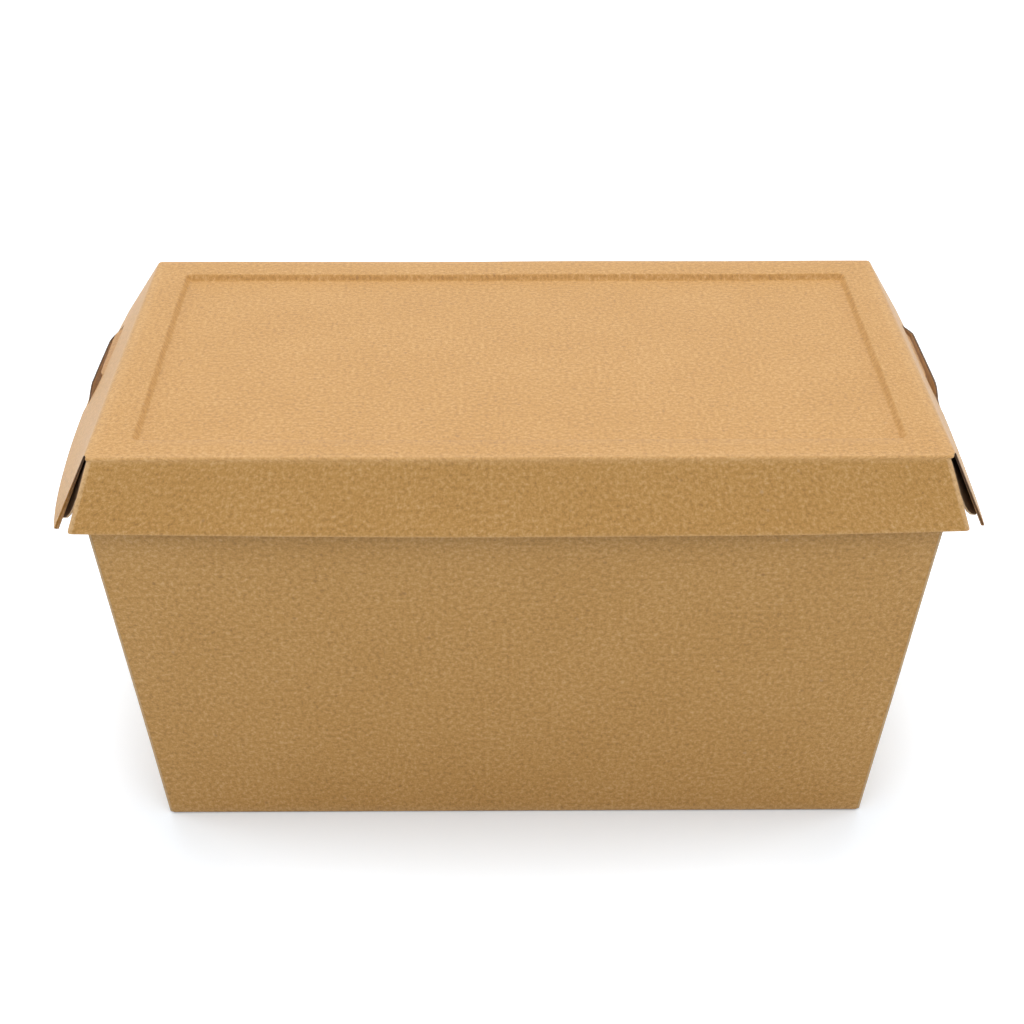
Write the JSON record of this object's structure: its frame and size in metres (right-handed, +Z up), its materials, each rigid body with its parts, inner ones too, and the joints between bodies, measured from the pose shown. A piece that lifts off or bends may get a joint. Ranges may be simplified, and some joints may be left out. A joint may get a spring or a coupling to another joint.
{
  "type": "takeout food box",
  "caption": "Tapered kraft board takeout food box with a hinged lid, a pressed panel in its top, flared skirts and side locks, for carrying a meal.",
  "frame": {"origin": "centre of the underside of the tray's base, on the surface that the box stands on", "axes": "+X to the right along the width, +Y from the front to the hinge at the back, +Z up"},
  "size_m": [0.2216, 0.1362, 0.1065],
  "materials": {
    "tray_board": "matte kraft board",
    "lid_board": "matte kraft board"
  },
  "bodies": {
    "tray": {"tray": "tray_board"},
    "lid": {"lid": "lid_board"}
  },
  "joints": [
    {"name": "lid_hinge", "type": "hinge", "parent": "tray", "child": "lid", "pos_m": [0, 0.0668, 0.0974], "axis": [-1, 0, 0], "range_deg": [0, 180]}
  ]
}
